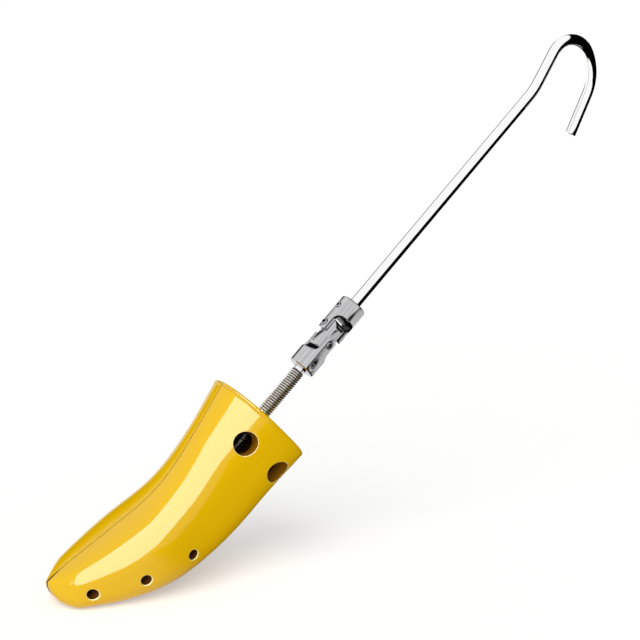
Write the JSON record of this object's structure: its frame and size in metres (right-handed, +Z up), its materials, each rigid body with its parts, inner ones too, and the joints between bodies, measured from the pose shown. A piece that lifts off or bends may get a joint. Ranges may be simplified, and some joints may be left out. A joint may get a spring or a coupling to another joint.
{
  "type": "boot tree",
  "caption": "Split boot tree spread by a threaded spindle, with plug holes in its sides, a universal joint and a long hooked handle rod.",
  "frame": {"origin": "on the flat of the sole, in the mid-plane between the halves of the last, behind the toe", "axes": "+X from the toe to the cuff and the handle, +Y to the right half, +Z up from the sole"},
  "size_m": [0.4501, 0.07, 0.3548],
  "materials": {
    "yellow_plastic": "glossy",
    "grey_nylon": "matte",
    "satin_steel": "satin",
    "thread_steel": "bright, rolled thread",
    "chrome": "polished plating",
    "bronze": "turned",
    "spring_steel": "drawn wire"
  },
  "bodies": {
    "frame": {"spine_plate": "satin_steel", "nut_block": "satin_steel", "spindle_nut": "bronze", "upper_block_screw": "satin_steel", "lower_block_screw": "satin_steel", "toe_pin": "satin_steel", "toe_pin_clip": "spring_steel", "upper_return_spring": "spring_steel", "lower_return_spring": "spring_steel"},
    "left_half": {"left_shell": "yellow_plastic", "left_wedge_pad": "grey_nylon"},
    "right_half": {"right_shell": "yellow_plastic", "right_wedge_pad": "grey_nylon"},
    "spreader": {"spreader_wedge": "grey_nylon", "thrust_washer": "satin_steel"},
    "spindle": {"threaded_spindle": "thread_steel", "spindle_clip": "spring_steel", "lower_yoke": "satin_steel", "lower_cross_pin": "satin_steel"},
    "link": {"link_block": "satin_steel", "lower_pivot_pin": "satin_steel", "upper_pivot_pin": "satin_steel"},
    "handle": {"upper_yoke": "satin_steel", "upper_cross_pin": "satin_steel", "handle_rod": "chrome"}
  },
  "joints": [
    {"name": "spreader_feed", "type": "slide", "parent": "frame", "child": "spreader", "axis": [-0.7385, 0, -0.6743], "range_m": [0, 0.027]},
    {"name": "spindle_turn", "type": "hinge", "parent": "spreader", "child": "spindle", "pos_m": [0.13, 0, 0.1046], "axis": [-0.7385, 0, -0.6743], "range_deg": [0, 5401]},
    {"name": "left_opening", "type": "hinge", "parent": "frame", "child": "left_half", "pos_m": [-0.0199, 0, 0.014], "axis": [0, 0, -1], "range_deg": [0, 3.01], "deforming": ["upper_return_spring", "lower_return_spring"]},
    {"name": "right_opening", "type": "hinge", "parent": "frame", "child": "right_half", "pos_m": [-0.0199, 0, 0.014], "axis": [0, 0, 1], "range_deg": [0, 3.01], "deforming": ["upper_return_spring", "lower_return_spring"]},
    {"name": "lower_pivot", "type": "hinge", "parent": "spindle", "child": "link", "pos_m": [0.18073, 0, 0.15093], "axis": [0, 1, 0], "range_deg": [-45, 45]},
    {"name": "upper_pivot", "type": "hinge", "parent": "link", "child": "handle", "pos_m": [0.1893, 0, 0.15875], "axis": [-0.6743, 0, 0.7385], "range_deg": [-45, 45]}
  ],
  "couplings": [
    {"joint": "spindle_turn", "follows": "spreader_feed", "rad_per_m": 3490.7},
    {"joint": "left_opening", "follows": "spreader_feed", "rad_per_m": 1.9393},
    {"joint": "right_opening", "follows": "spreader_feed", "rad_per_m": 1.9393}
  ]
}
